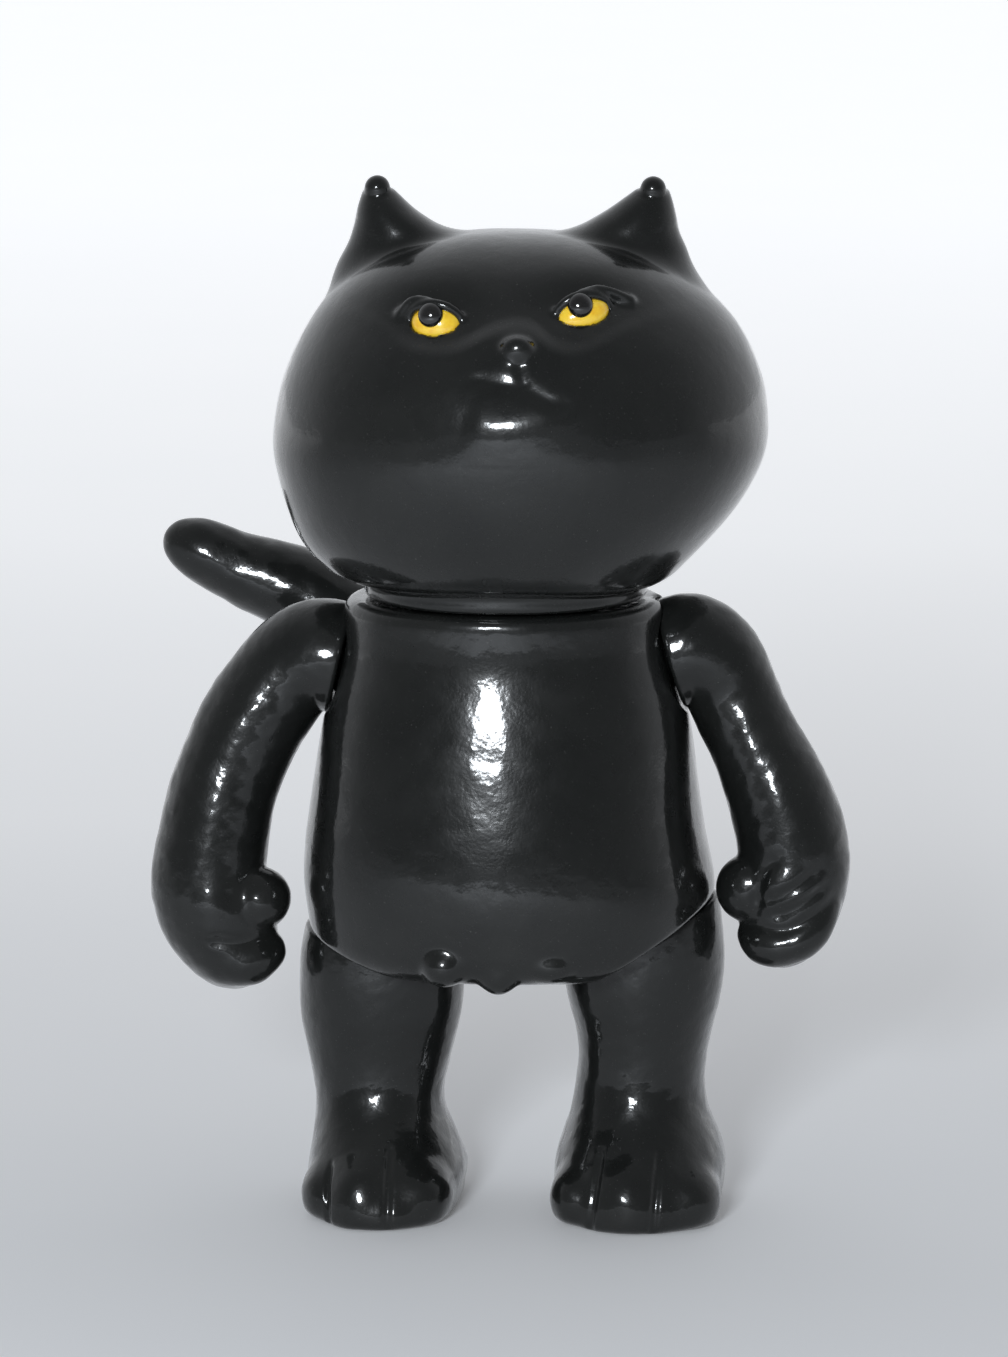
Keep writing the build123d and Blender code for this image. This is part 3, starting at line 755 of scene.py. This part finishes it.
def leg_field(stack, toes, centres, hip, up, seed):
    start = hip - up * SEAM

    def field(p):
        f = stack(p)
        # three toes, each a little rounded forward of the foot
        for x, y, z, a, b, c in centres:
            f = smin(f, egg(p, (x, y, z), (a, b, c)), 2.2)
        f = smax(f, -p[:, 2], 2.4)
        for line in toes:
            f = f + near(p, f, (-60, -45, -4), (60, -5, 24), lambda q: groove(q, line, 0.5, 1.6), 0.0)
        f = f + 0.16 * lumps(p, 12, seed) + 0.075 * lumps(p, 3.8, (seed + 1) % 5) * (0.4 + 0.6 * step(46, 8, p[:, 2])) + 0.035 * lumps(p, 2.2, (seed + 2) % 5)
        f = smax(f, -p[:, 2], 0.5)
        f = smax(f, (p - start) @ up, 1.2)
        return smin(f, plug(p, hip, -up, 10.0, 12.4), 0.3)
    return field


leg_right_field = leg_field(leg_r, TOES_R, [
    (-39.6, -17.0, 5.2, 5.2, 8.2, 6.6), (-31.2, -21.2, 6.0, 7.2, 9.2, 8.6), (-18.2, -19.6, 5.6, 7.0, 8.8, 7.6)], HIP_R, UP_R, 2)
leg_left_field = leg_field(leg_l, TOES_L, [
    (16.0, -17.8, 5.4, 5.6, 8.4, 7.2), (28.0, -21.4, 6.2, 7.4, 9.2, 9.0), (41.2, -18.8, 5.6, 7.2, 8.8, 7.8)], HIP_L, UP_L, 0)


# ---------------------------------------------------------------- make the castings
def build(name, body, node, f, lo, hi, voxel, fine=1):
    ob = mesh_of(name, f, lo, hi, voxel, fine)
    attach(ob, body)
    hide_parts(node)
    return ob


pieces = {
    "torso": build("torso_vinyl", "torso", "torso_shell", torso_field, (-49, -44, 50), (49, 38, 140), 1.35),
    "head": build("head_vinyl", "head", "head_shell", head_field, (-56, -54, 129), (62, 48, 232), 0.95),
    "arm_r": build("arm_right_vinyl", "arm_right", "arm_right_shell", arm_right_field, (-82, -22, 46), (-27, 16, 139), 0.85),
    "arm_l": build("arm_left_vinyl", "arm_left", "arm_left_shell", arm_left_field, (27, -22, 52), (79, 16, 141), 0.85),
    "leg_r": build("leg_right_vinyl", "leg_right", "leg_right_shell", leg_right_field, (-49, -34, -2), (-6, 22, 73), 0.85),
    "leg_l": build("leg_left_vinyl", "leg_left", "leg_left_shell", leg_left_field, (7, -34, -2), (52, 22, 85), 0.85),
    "tail": build("tail_vinyl", "tail", "tail_shell", tail_field, (-86, 24, 70), (14, 75, 150), 0.95),
}


# ---------------------------------------------------------------- eyes
def dome(name, centre, axes, half, rings=44, segs=96, cut=-0.62, ripple=0.0):
    """A cast dome: the outward part of an ellipsoid, closed behind, its edge turned in."""
    pts, faces = [], []
    for i in range(rings + 1):
        t = i / rings
        a = t * math.acos(cut)
        for k in range(segs):
            b = 2 * math.pi * k / segs
            w = 1 + ripple * math.sin(3 * b + 1.0) * math.sin(a) ** 2
            q = np.array([half[0] * math.sin(a) * math.cos(b) * w, half[1] * math.sin(a) * math.sin(b) * w, half[2] * math.cos(a)])
            pts.append(centre + q @ axes)
    back = len(pts)
    pts.append(centre + np.array([0, 0, half[2] * cut]) @ axes)
    top = len(pts)
    pts.append(centre + np.array([0, 0, half[2]]) @ axes)
    for i in range(1, rings):
        for k in range(segs):
            n = (k + 1) % segs
            faces.append((i * segs + k, (i + 1) * segs + k, (i + 1) * segs + n, i * segs + n))
    for k in range(segs):
        n = (k + 1) % segs
        faces.append((top, segs + k, segs + n))
        faces.append((back, rings * segs + n, rings * segs + k))
    pts = np.array(pts)
    keep = np.ones(len(pts), bool)
    keep[:segs] = False
    index = np.cumsum(keep) - 1
    faces = [tuple(int(index[v]) for v in f) for f in faces]
    me = bpy.data.meshes.new(name)
    me.from_pydata(((pts[keep] + ORIGIN) / 1000.0).tolist(), [], faces)
    me.validate()
    me.shade_smooth()
    ob = bpy.data.objects.new(name, me)
    bpy.context.scene.collection.objects.link(ob)
    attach(ob, "head")
    return ob


eye_objects, pupil_objects = [], []
for side, e in EYES.items():
    o = dome(f"eye_{side}_amber", e["in"], e["axes"], e["half"], ripple=0.008)
    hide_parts(f"eye_{side}")
    eye_objects.append(o)
    u, v, n = e["pupil"]
    c = e["c"] + u * e["axes"][0] + v * e["axes"][1] + n * e["axes"][2]
    o = dome(f"pupil_{side}_bead", c, e["axes"], (2.72, 2.72, 2.05))
    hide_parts(f"pupil_{side}")
    pupil_objects.append(o)


# ---------------------------------------------------------------- materials
# painted light: the floor's emission strength against y, dim in front of the figure and bright behind it
PAINTED_FLOOR_LIGHT = [(-1.0, 0.04), (-0.2, 0.03), (0.05, 0.12), (0.4, 0.32), (1.0, 0.52), (2.2, 0.66), (3.0, 0.68)]   # floor: y, glow
ROOM = (0.16, 0.62)   # how bright the room is all round, and how much more behind


def node(nt, kind, at, **inputs):
    n = nt.nodes.new(kind)
    n.location = at
    for k, v in inputs.items():
        n.inputs[k.replace("_", " ")].default_value = v
    return n


def ramp(nt, at, stops):
    r = nt.nodes.new("ShaderNodeValToRGB")
    r.location = at
    while len(r.color_ramp.elements) < len(stops):
        r.color_ramp.elements.new(0.5)
    for e, (pos, col) in zip(r.color_ramp.elements, stops):
        e.position = pos
        e.color = (*col, 1) if len(col) == 3 else col
    return r


def black_vinyl(name, seed, rough=0.30, bump=0.00016, grain=0.00003):
    """Glossy cast vinyl: near-black, with flow marks in its gloss and a fine uneven skin."""
    m = bpy.data.materials.new(name)
    m.use_nodes = True
    nt = m.node_tree
    b = nt.nodes["Principled BSDF"]
    b.inputs["IOR"].default_value = 1.5
    b.inputs["Specular IOR Level"].default_value = 0.12
    b.inputs["Coat Weight"].default_value = 1.0
    b.inputs["Coat Roughness"].default_value = 0.095
    b.inputs["Coat IOR"].default_value = 1.42
    tc = node(nt, "ShaderNodeTexCoord", (-1400, 0))
    shift = node(nt, "ShaderNodeMapping", (-1220, 0), Location=(seed * 0.37, seed * 0.11, seed * 0.23))
    nt.links.new(tc.outputs["Object"], shift.inputs["Vector"])
    broad = node(nt, "ShaderNodeTexNoise", (-1000, 260), Scale=45.0, Detail=3.0, Roughness=0.55, Distortion=0.4)
    mid = node(nt, "ShaderNodeTexNoise", (-1000, 0), Scale=210.0, Detail=3.0, Roughness=0.5)
    fine = node(nt, "ShaderNodeTexNoise", (-1000, -260), Scale=1500.0, Detail=2.0, Roughness=0.5)
    dust = node(nt, "ShaderNodeTexNoise", (-1000, -520), Scale=2600.0, Detail=1.0, Roughness=0.5)
    for n in (broad, mid, fine, dust):
        nt.links.new(shift.outputs["Vector"], n.inputs["Vector"])
    col = ramp(nt, (-700, 300), [(0.30, (0.0072, 0.0079, 0.0075)), (0.52, (0.0096, 0.0103, 0.0098)), (0.75, (0.0130, 0.0136, 0.0128))])
    nt.links.new(broad.outputs["Fac"], col.inputs["Fac"])
    specks = ramp(nt, (-700, -520), [(0.0, (0, 0, 0)), (0.735, (0, 0, 0)), (0.775, (1, 1, 1))])
    nt.links.new(dust.outputs["Fac"], specks.inputs["Fac"])
    mix = nt.nodes.new("ShaderNodeMix")
    mix.data_type = "RGBA"
    mix.location = (-400, 300)
    mix.inputs["B"].default_value = (0.05, 0.05, 0.048, 1)
    nt.links.new(specks.outputs["Color"], mix.inputs["Factor"])
    nt.links.new(col.outputs["Color"], mix.inputs["A"])
    nt.links.new(mix.outputs["Result"], b.inputs["Base Color"])
    rr = nt.nodes.new("ShaderNodeMapRange")
    rr.location = (-700, 60)
    for k, v in (("From Min", 0.3), ("From Max", 0.7), ("To Min", rough - 0.05), ("To Max", rough + 0.07)):
        rr.inputs[k].default_value = v
    nt.links.new(mid.outputs["Fac"], rr.inputs["Value"])
    nt.links.new(rr.outputs["Result"], b.inputs["Roughness"])
    b1 = node(nt, "ShaderNodeBump", (-400, -160), Strength=1.0, Distance=bump)
    nt.links.new(mid.outputs["Fac"], b1.inputs["Height"])
    b2 = node(nt, "ShaderNodeBump", (-200, -260), Strength=1.0, Distance=grain)
    nt.links.new(fine.outputs["Fac"], b2.inputs["Height"])
    nt.links.new(b1.outputs["Normal"], b2.inputs["Normal"])
    nt.links.new(b2.outputs["Normal"], b.inputs["Normal"])
    nt.links.new(b1.outputs["Normal"], b.inputs["Coat Normal"])
    return m


def amber():
    m = bpy.data.materials.new("amber_gloss_paint")
    m.use_nodes = True
    nt = m.node_tree
    b = nt.nodes["Principled BSDF"]
    b.inputs["Roughness"].default_value = 0.22
    b.inputs["Coat Weight"].default_value = 1.0
    b.inputs["Coat Roughness"].default_value = 0.04
    tc = node(nt, "ShaderNodeTexCoord", (-1100, 0))
    n1 = node(nt, "ShaderNodeTexNoise", (-900, 150), Scale=420.0, Detail=3.0, Roughness=0.6)
    n2 = node(nt, "ShaderNodeTexNoise", (-900, -150), Scale=900.0, Detail=2.0)
    nt.links.new(tc.outputs["Object"], n1.inputs["Vector"])
    nt.links.new(tc.outputs["Object"], n2.inputs["Vector"])
    col = ramp(nt, (-600, 150), [(0.28, (0.88, 0.48, 0.02)), (0.5, (0.95, 0.62, 0.035)), (0.72, (0.98, 0.70, 0.07))])
    nt.links.new(n1.outputs["Fac"], col.inputs["Fac"])
    nt.links.new(col.outputs["Color"], b.inputs["Base Color"])
    bp = node(nt, "ShaderNodeBump", (-300, -150), Strength=1.0, Distance=0.00004)
    nt.links.new(n2.outputs["Fac"], bp.inputs["Height"])
    nt.links.new(bp.outputs["Normal"], b.inputs["Normal"])
    return m


def pupil():
    m = bpy.data.materials.new("black_gloss_paint")
    m.use_nodes = True
    nt = m.node_tree
    b = nt.nodes["Principled BSDF"]
    b.inputs["Roughness"].default_value = 0.12
    b.inputs["Coat Weight"].default_value = 1.0
    b.inputs["Coat Roughness"].default_value = 0.03
    tc = node(nt, "ShaderNodeTexCoord", (-900, 0))
    n1 = node(nt, "ShaderNodeTexNoise", (-700, 100), Scale=700.0, Detail=2.0)
    nt.links.new(tc.outputs["Object"], n1.inputs["Vector"])
    col = ramp(nt, (-450, 100), [(0.35, (0.0035, 0.0035, 0.004)), (0.7, (0.008, 0.0075, 0.007))])
    nt.links.new(n1.outputs["Fac"], col.inputs["Fac"])
    nt.links.new(col.outputs["Color"], b.inputs["Base Color"])
    bp = node(nt, "ShaderNodeBump", (-200, -120), Strength=1.0, Distance=0.00003)
    nt.links.new(n1.outputs["Fac"], bp.inputs["Height"])
    nt.links.new(bp.outputs["Normal"], b.inputs["Normal"])
    return m


for i, (key, ob) in enumerate(pieces.items()):
    ob.data.materials.append(black_vinyl(f"vinyl_{key}", i + 1, rough={"head": 0.27, "torso": 0.28}.get(key, 0.31),
                                         bump={"head": 0.00010, "torso": 0.00012}.get(key, 0.00020)))
amber_paint, pupil_paint = amber(), pupil()
for ob in eye_objects:
    ob.data.materials.append(amber_paint)
for ob in pupil_objects:
    ob.data.materials.append(pupil_paint)

# ---------------------------------------------------------------- floor
me = bpy.data.meshes.new("floor")
S = 40.0
me.from_pydata([(-S, -S, 0), (S, -S, 0), (S, S, 0), (-S, S, 0)], [], [(0, 1, 2, 3)])
me.update()
floor = bpy.data.objects.new("floor", me)
bpy.context.scene.collection.objects.link(floor)
m = bpy.data.materials.new("pale_table_painted_glow")
m.use_nodes = True
nt = m.node_tree
b = nt.nodes["Principled BSDF"]
b.inputs["Roughness"].default_value = 0.7
b.inputs["Specular IOR Level"].default_value = 0.2
tc = node(nt, "ShaderNodeTexCoord", (-1200, 0))
n1 = node(nt, "ShaderNodeTexNoise", (-600, 0), Scale=6.0, Detail=2.0)
nt.links.new(tc.outputs["Object"], n1.inputs["Vector"])
col = ramp(nt, (-350, 0), [(0.3, (0.78, 0.79, 0.81)), (0.7, (0.80, 0.805, 0.82))])
nt.links.new(n1.outputs["Fac"], col.inputs["Fac"])
nt.links.new(col.outputs["Color"], b.inputs["Base Color"])
# painted light: the table's emission, set by its y, stands in for lamp light on it, dim in front and brightest towards
# the back
sep = node(nt, "ShaderNodeSeparateXYZ", (-1000, -300))
nt.links.new(tc.outputs["Object"], sep.inputs["Vector"])
painted_falloff = nt.nodes.new("ShaderNodeMapRange")
painted_falloff.location = (-800, -300)
painted_falloff.inputs["From Min"].default_value = -1.0
painted_falloff.inputs["From Max"].default_value = 3.0
nt.links.new(sep.outputs["Y"], painted_falloff.inputs["Value"])
painted_glow = ramp(nt, (-600, -300), [((y + 1.0) / 4.0, (v,) * 3) for y, v in PAINTED_FLOOR_LIGHT])
painted_glow.color_ramp.interpolation = "B_SPLINE"
nt.links.new(painted_falloff.outputs["Result"], painted_glow.inputs["Fac"])
nt.links.new(painted_glow.outputs["Color"], b.inputs["Emission Strength"])
b.inputs["Emission Color"].default_value = (0.965, 0.98, 1.0, 1)
floor.data.materials.append(m)

# ---------------------------------------------------------------- light
# The room is dim in front and overhead, and pale and bright behind, as before a lit paper sweep.
world = bpy.data.worlds.new("studio")
bpy.context.scene.world = world
world.use_nodes = True
wt = world.node_tree
tc = node(wt, "ShaderNodeTexCoord", (-900, 0))
sep = node(wt, "ShaderNodeSeparateXYZ", (-700, 0))
wt.links.new(tc.outputs["Generated"], sep.inputs["Vector"])
back = ramp(wt, (-500, 120), [(0.0, (0, 0, 0)), (0.36, (0.05, 0.05, 0.05)), (0.62, (0.75, 0.75, 0.75)), (1.0, (1, 1, 1))])
up = ramp(wt, (-500, -160), [(0.0, (1, 1, 1)), (0.60, (1, 1, 1)), (0.85, (0.85, 0.85, 0.85)), (1.0, (0.7, 0.7, 0.7))])
for r, out in ((back, "Y"), (up, "Z")):
    half = node(wt, "ShaderNodeMath", (-600, 0))
    half.operation = "MULTIPLY_ADD"
    half.inputs[1].default_value = 0.5
    half.inputs[2].default_value = 0.5
    wt.links.new(sep.outputs[out], half.inputs[0])
    wt.links.new(half.outputs[0], r.inputs["Fac"])
    r.color_ramp.interpolation = "B_SPLINE"
mul = node(wt, "ShaderNodeMath", (-200, 0))
mul.operation = "MULTIPLY"
wt.links.new(back.outputs["Color"], mul.inputs[0])
wt.links.new(up.outputs["Color"], mul.inputs[1])
add = node(wt, "ShaderNodeMath", (-50, 0))
add.operation = "MULTIPLY_ADD"
add.inputs[1].default_value = ROOM[1]
add.inputs[2].default_value = ROOM[0]
wt.links.new(mul.outputs[0], add.inputs[0])
wt.links.new(add.outputs[0], wt.nodes["Background"].inputs["Strength"])
wt.nodes["Background"].inputs["Color"].default_value = (0.94, 0.965, 1.0, 1)
AIM = (np.array([0.0, 0.0, 125.0]) + ORIGIN) / 1000.0


def soft_box(name, direction, distance, size, watts, colour=(1, 1, 1), aim=AIM):
    light = bpy.data.lights.new(name, "AREA")
    light.shape = "RECTANGLE"
    light.size, light.size_y = size
    light.energy = watts
    light.color = colour
    ob = bpy.data.objects.new(name, light)
    bpy.context.scene.collection.objects.link(ob)
    d = unit(direction)
    ob.location = Vector(aim + d * distance)
    ob.rotation_euler = Vector(-d).to_track_quat("-Z", "Y").to_euler()
    return ob


soft_box("key", (-0.12, -0.97, 0.25), 1.05, (0.19, 0.15), 7.5, (0.90, 0.95, 1.0))

# ---------------------------------------------------------------- camera
az, el, D = math.radians(4.0), math.radians(10.0), 1.150
target = (np.array([-1.0, 0.0, 118.5]) + ORIGIN) / 1000.0
cam = bpy.data.cameras.new("camera")
cam.sensor_fit = "VERTICAL"
cam.sensor_width = cam.sensor_height = 36.0
cam.lens = 137.95
cam_ob = bpy.data.objects.new("camera", cam)
bpy.context.scene.collection.objects.link(cam_ob)
eye = target + D * np.array([math.sin(az) * math.cos(el), -math.cos(az) * math.cos(el), math.sin(el)])
cam_ob.location = Vector(eye)
cam_ob.rotation_euler = Vector(target - eye).to_track_quat("-Z", "Y").to_euler()
bpy.context.scene.camera = cam_ob
bpy.context.scene.view_settings.view_transform = "Standard"
bpy.context.scene.view_settings.look = "None"
